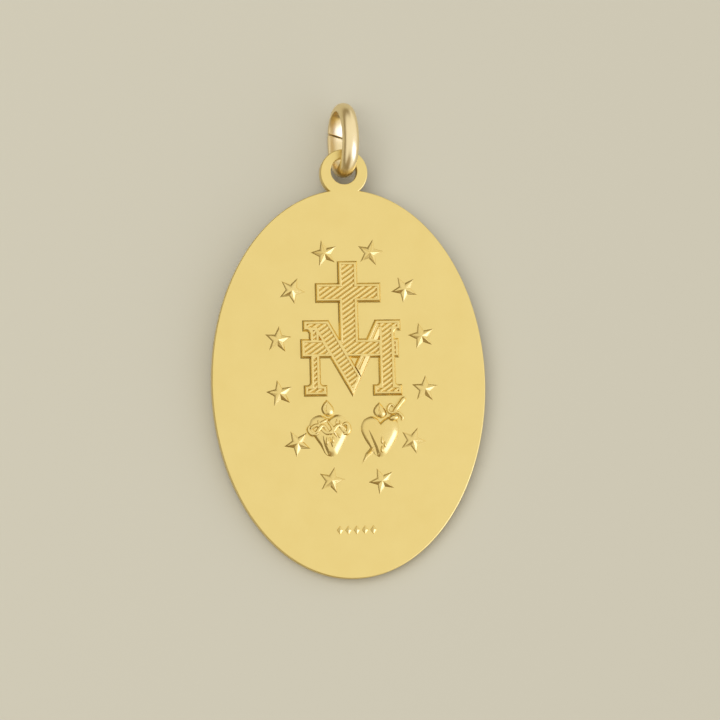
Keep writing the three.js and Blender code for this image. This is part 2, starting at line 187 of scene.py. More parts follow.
# Flames: their dome, and the edge of each from its tip down the left side and up the right
# one, with the crease between its two tongues as (x, y, height over the field, radius)
FLAME_DOME = ((0.1, 0.055), (0.2, 0.11), (0.32, 0.155), (0.5, 0.2), (0.7, 0.225), (0.9, 0.235))
LEFT_FLAME = {
    "edge": (
        (-2.12, -1.46), (-2.48, -1.86), (-2.64, -2.3), (-2.5, -2.72), (-2.2, -2.98),
        (-1.78, -2.98), (-1.5, -2.66), (-1.5, -2.3), (-1.72, -1.9),
    ),
    "crease": (
        (-2.08, -1.66, 0.14, 0.03), (-2.22, -2.0, 0.22, 0.07), (-2.28, -2.36, 0.24, 0.08),
        (-2.12, -2.8, 0.18, 0.04),
    ),
}
RIGHT_FLAME = {
    "edge": (
        (2.66, -1.76), (2.3, -2.12), (2.1, -2.52), (2.22, -2.92), (2.55, -3.2),
        (2.98, -3.22), (3.3, -2.95), (3.28, -2.6), (3.0, -2.15),
    ),
    "crease": (
        (2.7, -1.96, 0.14, 0.03), (2.6, -2.3, 0.22, 0.07), (2.66, -2.66, 0.24, 0.08),
        (2.84, -3.04, 0.18, 0.05),
    ),
}

# Crown of thorns: two woven strands, a rolled end, a bulge and loose vines, each a list of
# (x, y, height over the field, radius), and its thorns
CROWN = {
    "middle": (-2.02, -4.12),
    "half_width": 1.62,
    "sag": 0.08,
    "turns": (1.6, 2.3),
    "wave": 0.34,
    "foot": 0.12,
    "bow": 0.17,
    "weave": 0.05,
    "radius": 0.19,
    "points": 15,
    "steps": 3,
}
ROLLED_END = (
    (-0.8, -3.86, 0.26, 0.1), (-0.5, -3.7, 0.24, 0.2), (-0.26, -3.84, 0.16, 0.24),
    (-0.22, -4.2, 0.14, 0.27), (-0.36, -4.5, 0.16, 0.24), (-0.66, -4.62, 0.24, 0.1),
)
BULGE = (
    (-2.95, -4.48, 0.28, 0.1), (-3.3, -4.6, 0.2, 0.2), (-3.66, -4.48, 0.1, 0.22),
    (-3.84, -4.12, 0.08, 0.2), (-3.72, -3.82, 0.12, 0.08),
)
VINES = (
    (
        (-3.2, -3.9, 0.3, 0.06), (-2.7, -3.6, 0.28, 0.15), (-2.25, -3.36, 0.22, 0.15),
        (-2.02, -3.15, 0.08, 0.05),
    ),
    (
        (-2.15, -3.4, 0.26, 0.06), (-1.8, -3.9, 0.36, 0.15), (-1.6, -4.4, 0.38, 0.15),
        (-1.28, -4.9, 0.3, 0.05),
    ),
)
THORN = {"half_width": 0.11, "half_length": 0.27, "rise": 0.12, "height": 0.3}
THORNS = ((-2.95, -3.55, 15), (-1.3, -3.5, -10), (-0.95, -3.62, 20), (-1.15, -4.75, 30))

# Drops under the crown and from the wound: (x, y, half length), and how much a bead narrows
# towards its upper end
BEAD_PINCH = 0.45
DROP = {"half_width": 0.15, "rise": 0.16, "height": 0.3}
LEFT_DROPS = ((-2.2, -5.2, 0.45), (-1.68, -5.1, 0.36))
RIGHT_DROPS = ((2.8, -5.2, 0.4), (3.06, -5.62, 0.3), (2.78, -6.05, 0.34))

# Sword through the right heart: grip and guard as (x, y, height over the field, radius), the
# boss at the wound, and the blade's tip
GRIP = (
    (5.03, -1.36, 0.14, 0.13), (4.86, -1.56, 0.16, 0.23), (4.5, -2.02, 0.16, 0.2),
    (4.2, -2.4, 0.16, 0.2), (3.98, -2.68, 0.14, 0.15),
)
GUARD = (
    (3.98, -2.2, 0.1, 0.09), (3.76, -1.99, 0.12, 0.12), (3.5, -2.18, 0.12, 0.13),
    (3.46, -2.56, 0.12, 0.13), (3.7, -2.76, 0.14, 0.13), (4.14, -2.7, 0.14, 0.13),
    (4.52, -2.84, 0.12, 0.14), (4.76, -3.14, 0.1, 0.15), (4.7, -3.44, 0.08, 0.09),
)
BOSS = {
    "x": 3.93,
    "y": -3.18,
    "height": 0.14,
    "half_width": 0.52,
    "half_length": 0.34,
    "rise": 0.3,
    "turn": 12,
}
BLADE_TIP = ((1.1, -7.1), (1.62, -6.62), (2.4, -5.9), (2.1, -5.55), (1.36, -6.42))
BLADE_HEIGHT = 0.3

# Plain lozenges at the foot
LOZENGES = 5
LOZENGE_PITCH = 0.76
LOZENGE_MIDDLE = (0.32, -13.3)
LOZENGE_HALF_WIDTH = 0.3
LOZENGE_HALF_LENGTH = 0.42
LOZENGE_HEIGHT = 0.2
LOZENGE_WALL = ((0, FIELD - ROOT), (0, FIELD), (0.03, FIELD + 0.06))

# How finely round shapes are cut
PLATE_FLATS = 224
EAR_FLATS = 88
STRAND_FLATS = 16
SPLINE_STEPS = 4
BEAD_SEGMENTS = 14
BEAD_RINGS = 9

# Finish of a mesh: the sharpest turn that still shades as one surface, the length below which
# an edge is closed up, and how far a level face may be from its height
CREASE_ANGLE = radians(24)
SHORTEST_EDGE = 1e-4
LEVEL_SLACK = 0.02


# Solids


def loft(sections):
    """A closed solid through outlines with the same number of points, and its last face."""
    bm = bmesh.new()
    base = lid = bm.faces.new([bm.verts.new(point) for point in sections[0]])
    for section in sections[1:]:
        grown = bmesh.ops.extrude_face_region(bm, geom=[lid])["geom"]
        if lid is not base:
            bmesh.ops.delete(bm, geom=[lid], context="FACES_ONLY")
        lid = next(item for item in grown if isinstance(item, bmesh.types.BMFace))
        for vert, point in zip(lid.verts, section):
            vert.co = point
    bmesh.ops.recalc_face_normals(bm, faces=bm.faces)
    return bm, lid


def level(outline, height):
    return [(point[0], point[1], height) for point in outline]


def inset(outline, distance):
    """An anticlockwise outline, drawn in by the same distance all round."""
    sides = []
    for start, end in zip(outline, [*outline[1:], outline[0]]):
        along = (Vector(end) - Vector(start)).normalized()
        sides.append((Vector(start) + distance * Vector((-along.y, along.x)), along))
    corners = []
    for (point, along), (before, along_before) in zip(sides, [sides[-1], *sides[:-1]]):
        share = (point - before).cross(along) / along_before.cross(along)
        corners.append(before + share * along_before)
    return corners


def walled(outline, profile):
    """A solid whose walls follow a profile of (how far in, height)."""
    return loft([level(inset(outline, inward), height) for inward, height in profile])[0]


def rectangle(left, right, bottom, top):
    return [(left, bottom), (right, bottom), (right, top), (left, top)]


def oval(half_width, half_length, middle, flats):
    turns = [2 * pi * i / flats for i in range(flats)]
    return [(half_width * cos(t), middle + half_length * sin(t)) for t in turns]


def spline(points, steps=SPLINE_STEPS):
    """A smooth open path through its points."""
    points = [Vector(p) for p in points]
    ends = [2 * points[0] - points[1], *points, 2 * points[-1] - points[-2]]
    path = []
    for a, b, c, d in zip(ends, ends[1:], ends[2:], ends[3:]):
        for i in range(steps):
            t = i / steps
            square = (2 * a - 5 * b + 4 * c - d) * t**2
            cube = (3 * b - a - 3 * c + d) * t**3
            path.append(0.5 * (2 * b + (c - a) * t + square + cube))
    path.append(points[-1])
    return path


def as_object(bm, name="shape"):
    mesh = bpy.data.meshes.new(name)
    bm.to_mesh(mesh)
    bm.free()
    piece = bpy.data.objects.new(name, mesh)
    bpy.context.scene.collection.objects.link(piece)
    return piece


def combine(operation, shapes):
    """One closed solid from the first shape and all the others, which are used up."""
    first, *others = [as_object(bm) for bm in shapes]
    for other in others:
        step = first.modifiers.new("combine", "BOOLEAN")
        step.solver = "MANIFOLD"
        step.operation = operation
        step.object = other
    result = bmesh.new()
    depsgraph = bpy.context.evaluated_depsgraph_get()
    result.from_object(first, depsgraph)
    for piece in [first, *others]:
        bpy.data.meshes.remove(piece.data)
    return result


def join(shapes):
    return combine("UNION", shapes)


def cut(shape, tools):
    return combine("DIFFERENCE", [shape, *tools])


def clip(shape, bounds):
    return combine("INTERSECT", [shape, bounds])


# Blank


def rounded_disc(half_width, half_length, middle, flats):
    outline = oval(half_width, half_length, middle, flats)
    quarter = [radians(angle) for angle in (0, 22.5, 45, 67.5, 90)]
    under = [(EDGE_ROUNDING * (1 - sin(a)), EDGE_ROUNDING * (1 - cos(a))) for a in quarter]
    over = [(inward, FIELD - low) for inward, low in reversed(under)]
    return walled(outline, [*under, *over])


def hole_cutter():
    flare = [
        (-HOLE_ROUNDING, -ROOT),
        (-HOLE_ROUNDING, 0),
        (-HOLE_ROUNDING_MIDDLE, HOLE_ROUNDING_MIDDLE),
        (0, HOLE_ROUNDING),
        (0, FIELD - HOLE_ROUNDING),
        (-HOLE_ROUNDING_MIDDLE, FIELD - HOLE_ROUNDING_MIDDLE),
        (-HOLE_ROUNDING, FIELD),
        (-HOLE_ROUNDING, FIELD + ROOT),
    ]
    radius = EAR_HOLE_DIAMETER / 2
    return walled(oval(radius, radius, EAR_HOLE_CENTRE, EAR_FLATS), flare)


def blank():
    plate = rounded_disc(PLATE_WIDTH / 2, PLATE_LENGTH / 2, 0, PLATE_FLATS)
    ear = rounded_disc(EAR_DIAMETER / 2, EAR_DIAMETER / 2, EAR_CENTRE, EAR_FLATS)
    return cut(join([plate, ear]), [hole_cutter()])


# Emblem


def crossing(point, along, other_point, other_along):
    share = (other_point - point).cross(other_along) / along.cross(other_along)
    return point + share * along


def serif(left, right, bottom):
    return rectangle(left - SERIF_REACH, right + SERIF_REACH, bottom, bottom + SERIF_HEIGHT)


def emblem_strokes():
    """Strokes in three layers: a later layer crosses over an earlier one."""
    vertex = Vector(VERTEX)
    height = LETTER_TOP - LETTER_BASE
    fall = Vector((vertex.x - LEFT_POST[0], -height))
    rise = Vector((RIGHT_POST[0] + THIN_LAP - vertex.x, height))
    thick_right = Vector((LEFT_POST[0] + THICK_STROKE, LETTER_TOP))
    thin_right = vertex + rise
    thin_left = thin_right - Vector((THIN_STROKE, 0))
    meet = crossing(thick_right, fall, vertex, rise)
    part = crossing(thick_right, fall, thin_left, rise)
    top_base = LETTER_TOP - SERIF_HEIGHT
    half_upright = UPRIGHT_WIDTH / 2
    return [
        [
            rectangle(*LEFT_POST, LETTER_BASE, LETTER_TOP),
            serif(*LEFT_POST, LETTER_BASE),
            [meet, thin_right, thin_left, part],
        ],
        [
            rectangle(CROSS_CENTRE - half_upright, CROSS_CENTRE + half_upright, BAR_HEIGHTS[0], CROSS_TOP),
            rectangle(CROSS_CENTRE - ARM_SPAN / 2, CROSS_CENTRE + ARM_SPAN / 2, *ARM_HEIGHTS),
            rectangle(*BAR_ENDS, *BAR_HEIGHTS),
        ],
        [
            [vertex, meet, thick_right, Vector((LEFT_POST[0], LETTER_TOP))],
            rectangle(LEFT_POST[0] - SERIF_REACH, thick_right.x, top_base, LETTER_TOP),
            rectangle(*RIGHT_POST, LETTER_BASE, LETTER_TOP),
            serif(*RIGHT_POST, LETTER_BASE),
            rectangle(thin_left.x, RIGHT_POST[1] + SERIF_REACH, top_base, LETTER_TOP),
        ],
    ]


def fillets():
    """The hollow corners between a post and its serif, which run on into both of them."""
    base = LETTER_BASE + SERIF_HEIGHT
    top = LETTER_TOP - SERIF_HEIGHT
    places = (
        {"x": LEFT_POST[0], "y": base, "side": -1, "up": 1},
        {"x": LEFT_POST[1], "y": base, "side": 1, "up": 1},
        {"x": LEFT_POST[0], "y": top, "side": -1, "up": -1},
        {"x": RIGHT_POST[0], "y": base, "side": -1, "up": 1},
        {"x": RIGHT_POST[1], "y": base, "side": 1, "up": 1},
        {"x": RIGHT_POST[1], "y": top, "side": 1, "up": -1},
    )
    shapes = []
    for place in places:
        arc = [radians(angle) for angle in range(0, 91, 15)]
        outline = [(SERIF_FILLET * (1 - sin(a)), SERIF_FILLET * (1 - cos(a))) for a in arc]
        outline += [(-RIM, SERIF_FILLET), (-RIM, -RIM), (SERIF_FILLET, -RIM)]
        outline = [(place["x"] + place["side"] * a, place["y"] + place["up"] * b) for a, b in outline]
        shapes.append(walled(outline if area(outline) > 0 else outline[::-1], WALL))
    return shapes


def area(outline):
    return sum(Vector(a).cross(Vector(b)) for a, b in zip(outline, [*outline[1:], outline[0]])) / 2


def open_panels(layers):
    """The parts of the sunk panels that no later layer covers. The thin stroke has only a
    groove, which stops short of the slope down its right side."""
    above = EMBLEM_TOP + 2 * ROOT
    *first, (foot, right, left, back) = layers[0]
    aside = Vector((THIN_GROOVE_SHIFT, 0))
    thin = [foot - aside, right - aside, left, back]
    hollows = join([*[walled(stroke, PANEL_WALL) for stroke in first], walled(thin, THIN_PANEL_WALL)])
    for layer in layers[1:]:
        covers = [walled(stroke, ((0, FIELD), (0, above))) for stroke in layer]
        hollows = join([cut(hollows, covers), *[walled(stroke, PANEL_WALL) for stroke in layer]])
    return join([hollows, walled(thin_stroke_end(thin), THIN_PANEL_WALL)])


def thin_stroke_end(stroke):
    """The top of the thin stroke, whose panel runs on into the serif's panel."""
    foot, top_right, top_left, _ = stroke
    slant = (top_right - foot) / (top_right.y - foot.y)
    drop = 2 * SERIF_HEIGHT * slant
    return [top_left - drop, top_right - drop, top_right, top_left]


def sloped_side(start, end):
    """What is cut off the letter's lower right side, so that it falls away in one slope."""
    along = (end - start).normalized()
    inward = Vector((-along.y, along.x))
    (low, foot), (high, top) = THIN_SLOPE
    profile = ((low, foot), (high, top), (high, EMBLEM_TOP + ROOT), (low, EMBLEM_TOP + ROOT))
    sections = []
    for end_point in (start - along, end + along):
        sections.append([Vector((*(end_point + share * inward), z)) for share, z in profile])
    return loft(sections)[0]


def hatching(strokes):
    """Soft parallel ridges, clipped so that they end inside the rims and leave the top of the
    thin stroke plain."""
    across = Vector((-sin(RIDGE_SLOPE), cos(RIDGE_SLOPE)))
    corners = [Vector(p) for p in rectangle(*BAR_ENDS, LETTER_BASE, CROSS_TOP)]
    reach = [corner.dot(across) for corner in corners]
    half_length = CROSS_TOP - LETTER_BASE
    ridges = bmesh.new()
    for i in range(ceil(min(reach) / RIDGE_PITCH), floor(max(reach) / RIDGE_PITCH) + 1):
        made = bmesh.ops.create_cone(
            ridges,
            cap_ends=True,
            segments=RIDGE_SIDES,
            radius1=1,
            radius2=1,
            depth=2 * half_length,
        )["verts"]
        place = i * RIDGE_PITCH * across
        shape = (
            Matrix.Translation((place.x, place.y, PANEL_FLOOR))
            @ Matrix.Rotation(RIDGE_SLOPE, 4, "Z")
            @ Matrix.Diagonal((1, RIDGE_WIDTH / 2, RIDGE_RISE, 1))
            @ Matrix.Rotation(pi / 2, 4, "Y")
        )
        bmesh.ops.transform(ridges, matrix=shape, verts=made)
    room = ((RIM / 2, PANEL_FLOOR - ROOT / 2), (RIM / 2, EMBLEM_TOP))
    within = join([walled(stroke, room) for stroke in strokes])
    plain = rectangle(RIGHT_POST[0] - THIN_STROKE, RIGHT_POST[0] + RIM / 2, BAR_HEIGHTS[1], LETTER_TOP)
    return cut(clip(ridges, within), [walled(plain, ((0, FIELD), (0, EMBLEM_TOP + ROOT)))])


def emblem():
    layers = emblem_strokes()
    thin = layers[0][-1]
    thick = layers[2][0]
    flat = [stroke for layer in layers for stroke in layer if stroke not in (thin, thick)]
    sloped = [cut(walled(stroke, WALL), [sloped_side(thick[0], thin[1])]) for stroke in (thin, thick)]
    raised = join([*sloped, *[walled(stroke, WALL) for stroke in flat], *fillets()])
    return join([cut(raised, [open_panels(layers)]), hatching([*flat, thick])])


# Stars, hearts, flames, crown, sword, drops and the row at the foot


def peaked(outline, wall, height, softening):
    """A solid that rises in flat facets from its wall to one peak, with slightly soft ridges."""
    bm, lid = loft([level(inset(outline, inward), high) for inward, high in wall])
    peak = bmesh.ops.poke(bm, faces=[lid], offset=FIELD + height - wall[-1][1])["verts"][0]
    if softening:
        bmesh.ops.bevel(
            bm,
            geom=list(peak.link_edges),
            offset=softening,
            segments=2,
            profile=0.5,
            affect="EDGES",
            material=-1,
            clamp_overlap=True,
        )
    return bm


def star(x, y, turn):
    outline = []
    for i in range(10):
        reach = STAR_VALLEY if i % 2 else STAR_TIP
        angle = radians(turn) - i * pi / 5
        outline.append((x + reach * sin(angle), y + reach * cos(angle)))
    return peaked(outline, STAR_WALL, STAR_HEIGHT, STAR_SOFTENING)


def domed(outline, middle, dome):
    """A solid with a steep edge that rises to a nearly flat middle."""
    middle = Vector(middle)
    sections = [level(outline, FIELD - ROOT), level(outline, FIELD)]
    for share, height in dome:
        shrunk = [middle + (1 - share) * (Vector(p) - middle) for p in outline]
        sections.append(level(shrunk, FIELD + height))
    bm, lid = loft(sections)
    bmesh.ops.poke(bm, faces=[lid], offset=0)
    return bm


ROUND = oval(1, 1, 0, flats=STRAND_FLATS)


def strand(line, section=ROUND, steps=SPLINE_STEPS):
    """A bar of the same section through points (x, y, height over the field, radius)."""
    path = spline([point[:3] for point in line], steps)
    radii = [share.x for share in spline([(point[3], 0) for point in line], steps)]
    sections = []
    for i, (point, radius) in enumerate(zip(path, radii)):
        along = path[min(i + 1, len(path) - 1)] - path[max(i - 1, 0)]
        aside = Vector((-along.y, along.x, 0)).normalized()
        middle = point + Vector((0, 0, FIELD))
        corners = [Vector((0, 0, radius * up)) + radius * across * aside for across, up in section]
        sections.append([middle + corner for corner in corners])
    return loft(sections)[0]


def bead(x, y, height, half_width, half_length, rise, turn=0):
    """A rounded bead, pinched towards its upper end like a drop."""
    bm = bmesh.new()
    bmesh.ops.create_uvsphere(bm, u_segments=BEAD_SEGMENTS, v_segments=BEAD_RINGS, radius=1)
    for vert in bm.verts:
        pinch = 1 - BEAD_PINCH * max(vert.co.y, 0)
        vert.co.x *= pinch
        vert.co.z *= pinch
    place = (
        Matrix.Translation((x, y, FIELD + height))
        @ Matrix.Rotation(radians(turn), 4, "Z")
        @ Matrix.Diagonal((half_width, half_length, rise, 1))
    )
    bmesh.ops.transform(bm, matrix=place, verts=bm.verts)
    return bm


def heart(sides):
    left = spline(sides["left"])
    right = spline(sides["right"])
    return domed([*right, *reversed(left[1:-1])], sides["middle"], HEART_DOME)


def flame(shape):
    edge = shape["edge"]
    middle = sum((Vector(p) for p in edge), Vector((0, 0))) / len(edge)
    outline = spline([*edge, edge[0]])[:-1]
    return cut(domed(outline, middle, FLAME_DOME), [strand(shape["crease"])])


def crown():
    """Strands woven over and under each other."""
    shapes = []
    for k, turns in enumerate(CROWN["turns"]):
        line = []
        for i in range(CROWN["points"]):
            share = i / (CROWN["points"] - 1)
            side = 2 * share - 1
            phase = 2 * pi * (turns * share + k / len(CROWN["turns"]))
            x = CROWN["middle"][0] + CROWN["half_width"] * side
            y = CROWN["middle"][1] - CROWN["sag"] * (1 - side**2) + CROWN["wave"] * sin(phase)
            z = CROWN["foot"] + CROWN["bow"] * (1 - side**4) + CROWN["weave"] * cos(phase)
            line.append((x, y, z, CROWN["radius"]))
        shapes.append(strand(line, steps=CROWN["steps"]))
    return shapes


def drops(places):
    return [
        bead(x, y, DROP["height"], DROP["half_width"], half_length, DROP["rise"])
        for x, y, half_length in places
    ]


def left_emblem():
    creases = [strand(line, CREASE_SECTION) for line in LEFT_CREASES]
    shapes = [cut(heart(LEFT_HEART), creases), flame(LEFT_FLAME), *crown(), *drops(LEFT_DROPS)]
    shapes += [strand(line) for line in (ROLLED_END, BULGE, *VINES)]
    for x, y, turn in THORNS:
        shapes.append(bead(x, y, turn=turn, **THORN))
    return shapes


def right_emblem():
    crease = strand(RIGHT_CREASE, CREASE_SECTION)
    shapes = [cut(heart(RIGHT_HEART), [crease]), flame(RIGHT_FLAME)]
    shapes += [strand(GRIP), strand(GUARD), bead(**BOSS), *drops(RIGHT_DROPS)]
    shapes.append(peaked(BLADE_TIP, STAR_WALL, BLADE_HEIGHT, STAR_SOFTENING))
    return shapes


def lozenges():
    shapes = []
    for i in range(LOZENGES):
        x = LOZENGE_MIDDLE[0] + (i - (LOZENGES - 1) / 2) * LOZENGE_PITCH
        y = LOZENGE_MIDDLE[1]
        outline = [
            (x, y - LOZENGE_HALF_LENGTH),
            (x + LOZENGE_HALF_WIDTH, y),
            (x, y + LOZENGE_HALF_LENGTH),
            (x - LOZENGE_HALF_WIDTH, y),
        ]
        shapes.append(peaked(outline, LOZENGE_WALL, LOZENGE_HEIGHT, 0))
    return shapes


# Medal


def lay_on_slope():
    """From the medal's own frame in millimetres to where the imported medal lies, in metres."""
    underside = next(m for m in frame["record"]["mounts"] if m["name"] == "underside")
    slope = asin(underside["axis"][1])
    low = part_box("medal")[0]
    widest = FIELD - EDGE_ROUNDING
    foot = Vector((0, -PLATE_LENGTH / 2 * cos(slope) - widest * sin(slope)))
    rest = (PLATE_LENGTH / 2 - EDGE_ROUNDING) * sin(slope)
    place = Matrix.Translation((0, low.y / MM - foot.y, rest))
    return Matrix.Scale(MM, 4) @ place @ Matrix.Rotation(slope, 4, "X")


def finish_mesh(bm, name, materials, crease=CREASE_ANGLE):
    bmesh.ops.remove_doubles(bm, verts=bm.verts, dist=SHORTEST_EDGE)
    bmesh.ops.dissolve_degenerate(bm, edges=bm.edges, dist=SHORTEST_EDGE)
    for face in bm.faces:
        face.smooth = True
    for edge in bm.edges:
        edge.smooth = len(edge.link_faces) == 2 and edge.calc_face_angle(pi) < crease
    piece = as_object(bm, name)
    for material in materials:
        piece.data.materials.append(material)
    weighted = piece.modifiers.new("even shading", "WEIGHTED_NORMAL")
    weighted.keep_sharp = True
    return piece


def medal(satin, polished, painted_shade_floor):
    finishes = [satin, polished, painted_shade_floor]
    shapes = [blank(), emblem(), *[star(**place) for place in STARS]]
    shapes += [*left_emblem(), *right_emblem(), *lozenges()]
    bm = join(shapes)
    for face in bm.faces:
        middle = face.calc_center_median()
        on_emblem = middle.y > LETTER_BASE and BAR_ENDS[0] < middle.x < RIGHT_POST[1] + SERIF_REACH
        # The floors of the sunk panels get the deeper tone, which is painted shade
        in_panel = on_emblem and abs(middle.z - PANEL_FLOOR) < LEVEL_SLACK
        if in_panel and face.normal.z > cos(CREASE_ANGLE):
            face.material_index = finishes.index(painted_shade_floor)
        elif middle.z > FIELD + LEVEL_SLACK:
            face.material_index = finishes.index(polished)
    piece = finish_mesh(bm, "struck_medal", finishes)
    piece.data.transform(lay_on_slope())
    return piece


# Bail ring, in millimetres: its wire is fullest in the middle and its ends are cut on a slant,
# which fades out over a share of the way round

RING_LENGTH = 6.9
RING_BREADTH = 5.1
WIRE_WIDTH = 1.56
WIRE_THICKNESS = 0.82
WIRE_CORNER = 0.07
WIRE_FULLNESS = 0.9
WIRE_STEPS = 24
JOINT_GAP = 0.1
JOINT_TURN = radians(-75)
JOINT_SLANT = radians(-13)
JOINT_ROUNDING = 0.05
JOINT_SHARES = (0, 0.0015, 0.004)
SLANT_REACH = 0.09
RING_STEPS = 150
RING_CREASE_ANGLE = radians(50)


def wire_section():
    """Half-round wire: (out from the flat inner face, across), with softened corners."""
    half = WIRE_WIDTH / 2
    dome = []
    for i in range(WIRE_STEPS + 1):
        turn = pi * i / WIRE_STEPS
        rise = (WIRE_THICKNESS - WIRE_CORNER) * sin(turn) ** WIRE_FULLNESS
        dome.append((WIRE_CORNER + rise, half * cos(turn)))
    nick = WIRE_CORNER / 3
    corners = [(nick, nick - half), (0, WIRE_CORNER - half), (0, half - WIRE_CORNER), (nick, half - nick)]
    return [*dome, *corners]


def ring_mesh():
    half_length = RING_LENGTH / 2 - WIRE_THICKNESS
    half_breadth = RING_BREADTH / 2 - WIRE_THICKNESS
    gap = JOINT_GAP / half_length
    section = wire_section()
    sections = []
    ends = [1 - share for share in reversed(JOINT_SHARES)]
    for share in [*JOINT_SHARES, *[i / RING_STEPS for i in range(1, RING_STEPS)], *ends]:
        turn = JOINT_TURN + gap / 2 + share * (2 * pi - gap)
        inner = Vector((half_length * cos(turn), half_breadth * sin(turn), 0))
        outward = Vector((half_breadth * cos(turn), half_length * sin(turn), 0)).normalized()
        along = Vector((-outward.y, outward.x, 0))
        from_joint = min(share, 1 - share)
        nearness = max(0, 1 - from_joint / SLANT_REACH)
        soft = JOINT_ROUNDING * max(0, 1 - from_joint / JOINT_SHARES[-1]) ** 2
        ring = []
        for out, side in section:
            middle = WIRE_THICKNESS / 2
            out = middle + (out - middle) * (1 - soft / WIRE_THICKNESS * 2)
            side = side * (1 - soft / WIRE_WIDTH * 2)
            slant = tan(JOINT_SLANT) * side * nearness
            ring.append(inner + out * outward + slant * along + Vector((0, 0, side)))
        sections.append(ring)
    return loft(sections)[0]


def bail_ring(material):
    opening = next(m for m in frame["record"]["mounts"] if m["name"] == "bail_ring_opening")
    lean = asin(-opening["axis"][2])
    low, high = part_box("bail_ring")
    middle = (low + high) / 2
    turn = Matrix(((0, sin(lean), cos(lean)), (1, 0, 0), (0, cos(lean), -sin(lean)))).to_4x4()
    piece = finish_mesh(ring_mesh(), "bail_ring_wire", [material], RING_CREASE_ANGLE)
    piece.data.transform(Matrix.Translation(middle) @ Matrix.Scale(MM, 4) @ turn)
    return piece


# Materials, with the sizes of their patterns in millimetres as drawn

CLOUD_SIZE = 3.0
GRAIN_SIZE = 0.15
LAPPING_SIZE = (0.12, 4.0, 1.0)
GRAIN_DEPTH = 0.01


def linear(code):
    """A colour written as an sRGB hex value, as the linear colour that a shader takes."""
    channels = [int(code[i : i + 2], 16) / 255 for i in (0, 2, 4)]
    return (*[c / 12.92 if c <= 0.04045 else ((c + 0.055) / 1.055) ** 2.4 for c in channels], 1)


def add_node(tree, kind, links=None, values=None, **settings):
    """One node, with its settings, its socket values and the sockets that feed it."""
    node = tree.nodes.new(kind)
    for name, value in settings.items():
        setattr(node, name, value)
    for name, value in (values or {}).items():
        node.inputs[name].default_value = value
    for name, source in (links or {}).items():
        tree.links.new(source, node.inputs[name])
    return node


def gilt_brass(name, pale, deep, roughness, grain, scratches):
    """Gold-plated brass in one of its finishes."""
    material = bpy.data.materials.new(name)
    material.use_nodes = True
    tree = material.node_tree
    tree.nodes.clear()
    place = add_node(tree, "ShaderNodeTexCoord").outputs["Object"]
    # Plating that varies a little in depth and gloss over about 3 mm
    cloud = add_node(
        tree,
        "ShaderNodeTexNoise",
        links={"Vector": place},
        values={"Scale": 1 / (CLOUD_SIZE * MM), "Detail": 4, "Roughness": 0.55},
    )
    # Grain of the die and of the mop: really about 0.02 mm, drawn as coarse as it needs to show
    fine = add_node(
        tree,
        "ShaderNodeTexNoise",
        links={"Vector": place},
        values={"Scale": 1 / (GRAIN_SIZE * MM), "Detail": 3, "Roughness": 0.6},
    )
    # Lapping lines along the medal: really about 0.01 mm apart, drawn coarser in the same way
    lengthwise = add_node(
        tree,
        "ShaderNodeMapping",
        links={"Vector": place},
        values={"Scale": [1 / (size * MM) for size in LAPPING_SIZE]},
    )
    lapping = add_node(
        tree,
        "ShaderNodeTexNoise",
        links={"Vector": lengthwise.outputs["Vector"]},
        values={"Scale": 1.0, "Detail": 2, "Roughness": 0.5},
    )
    tone = add_node(
        tree,
        "ShaderNodeMix",
        links={"Factor": cloud.outputs["Fac"]},
        data_type="RGBA",
    )
    tone.inputs["A"].default_value = linear(pale)
    tone.inputs["B"].default_value = linear(deep)
    gloss = add_node(
        tree,
        "ShaderNodeMapRange",
        links={"Value": cloud.outputs["Fac"]},
        values={"From Min": 0.3, "From Max": 0.7, "To Min": roughness - 0.03, "To Max": roughness + 0.05},
    )
    grained = add_node(
        tree,
        "ShaderNodeBump",
        links={"Height": fine.outputs["Fac"]},
        values={"Strength": grain, "Distance": GRAIN_DEPTH * MM},
    )
    lapped = add_node(
        tree,
        "ShaderNodeBump",
        links={"Height": lapping.outputs["Fac"], "Normal": grained.outputs["Normal"]},
        values={"Strength": scratches, "Distance": GRAIN_DEPTH * MM},
    )
    surface = add_node(
        tree,
        "ShaderNodeBsdfPrincipled",
        links={
            "Base Color": tone.outputs["Result"],
            "Roughness": gloss.outputs["Result"],
            "Normal": lapped.outputs["Normal"],
        },
        values={"Metallic": 1.0},
    )
    add_node(tree, "ShaderNodeOutputMaterial", links={"Surface": surface.outputs["BSDF"]})
    return material


def pale_card():
    """Matt card, which has no shine, so that only soft shadows show on it."""
    material = bpy.data.materials.new("pale_grey_card")
    material.use_nodes = True
    surface = material.node_tree.nodes["Principled BSDF"]
    surface.inputs["Base Color"].default_value = linear("B5B1A1")
    surface.inputs["Roughness"].default_value = 0.8
    return material


# Studio: the camera's tilt off the upright, its turn and roll, its distance in millimetres,
# the scale of the picture, and where the middle of the oval falls in it

CAMERA_TILT = radians(11.5)
CAMERA_TURN = radians(-45)
CAMERA_ROLL = radians(1.9)
CAMERA_DISTANCE = 320
PIXELS_PER_MM = 11.04
FRAME_PIXELS = 720
OVAL_CENTRE_PIXEL = (349.5, 383.2)
SENSOR = 36.0


